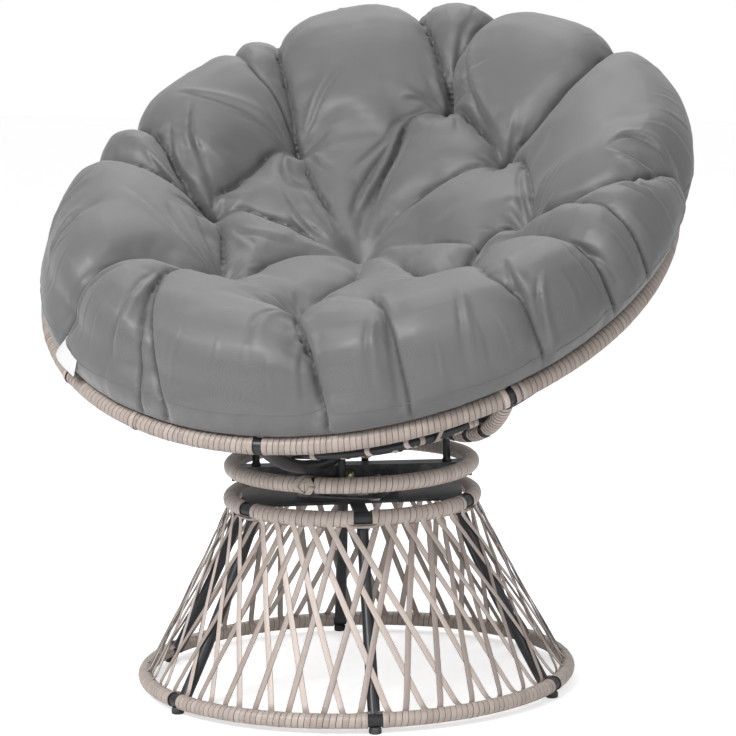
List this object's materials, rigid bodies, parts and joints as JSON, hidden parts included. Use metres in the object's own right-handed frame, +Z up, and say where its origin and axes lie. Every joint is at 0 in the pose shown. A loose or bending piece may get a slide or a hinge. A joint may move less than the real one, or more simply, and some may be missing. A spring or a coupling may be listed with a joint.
{
  "type": "papasan chair",
  "caption": "Swivel papasan chair: tilted round steel and wicker bowl with a tufted round cushion on a turning ring and a laced conical base.",
  "frame": {"origin": "centre of the bounding box at floor level", "axes": "+Z up, -Y the way the bowl opens and the sitter faces, +X to the right of a viewer in front"},
  "size_m": [0.9696, 0.8582, 0.9625],
  "materials": {
    "steel": "satin charcoal powder coat",
    "wicker": "flat greige resin strip with a soft sheen",
    "zinc": "zinc plated, slightly yellow",
    "glide": "matte black",
    "fabric": "mid-grey woven outdoor fabric with a soft sheen"
  },
  "bodies": {
    "base": {"floor_ring": "steel", "base_top_ring": "steel", "leg_1": "steel", "leg_2": "steel", "leg_3": "steel", "leg_4": "steel", "leg_5": "steel", "leg_6": "steel", "foot_1": "glide", "foot_2": "glide", "foot_3": "glide", "foot_4": "glide", "foot_5": "glide", "foot_6": "glide", "floor_ring_wrap_1": "wicker", "floor_ring_wrap_2": "wicker", "floor_ring_wrap_3": "wicker", "floor_ring_wrap_4": "wicker", "floor_ring_wrap_5": "wicker", "floor_ring_wrap_6": "wicker", "top_ring_wrap_1": "wicker", "top_ring_wrap_2": "wicker", "top_ring_wrap_3": "wicker", "top_ring_wrap_4": "wicker", "top_ring_wrap_5": "wicker", "top_ring_wrap_6": "wicker", "base_lacing": "wicker", "base_plate": "steel", "bearing_lower_plate": "zinc"},
    "seat": {"bearing_upper_plate": "zinc", "pivot_bolt": "zinc", "seat_plate": "steel", "seat_crossbar": "steel", "turning_ring": "steel", "turning_ring_wrap": "wicker", "post_right": "steel", "post_left": "steel", "post_front": "steel", "post_back": "steel", "bowl_rim": "steel", "rim_wrap_1": "wicker", "rim_wrap_2": "wicker", "rim_wrap_3": "wicker", "rim_wrap_4": "wicker", "rim_wrap_5": "wicker", "rim_wrap_6": "wicker", "bowl_rib_1": "steel", "bowl_rib_2": "steel", "bowl_rib_3": "steel", "bowl_rib_4": "steel", "bowl_rib_5": "steel", "bowl_rib_6": "steel", "rib_wrap_2": "wicker", "rib_wrap_6": "wicker", "bowl_hoop_upper": "steel", "bowl_hoop_middle": "steel", "bowl_hoop_lower": "steel", "bowl_hub_ring": "steel", "bowl_lacing": "wicker", "cushion": "fabric"}
  },
  "joints": [
    {"name": "swivel", "type": "hinge", "parent": "base", "child": "seat", "pos_m": [-0.01282, -0.0367, 0.2909], "axis": [0, 0, 1], "continuous": true}
  ]
}
